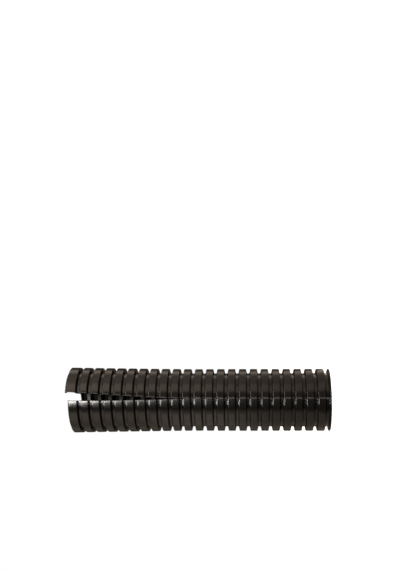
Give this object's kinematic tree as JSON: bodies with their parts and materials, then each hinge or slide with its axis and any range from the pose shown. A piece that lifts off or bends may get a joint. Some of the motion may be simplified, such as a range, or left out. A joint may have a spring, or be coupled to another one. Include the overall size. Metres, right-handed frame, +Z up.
{
  "type": "split loom tubing",
  "caption": "Cut length of black corrugated split loom tubing, slit along its whole length and spread open at one end, for bundling and protecting wires.",
  "frame": {"origin": "on the floor at the tube's axis, in the plane of its square end", "axes": "+Z up along the tube, from its square end to its spread end; -Y out through the slit."},
  "size_m": [0.0258, 0.0258, 0.1034],
  "materials": {
    "black_polyethylene": "semi-gloss"
  },
  "bodies": {
    "root": {"split_tube": "black_polyethylene"}
  },
  "joints": []
}
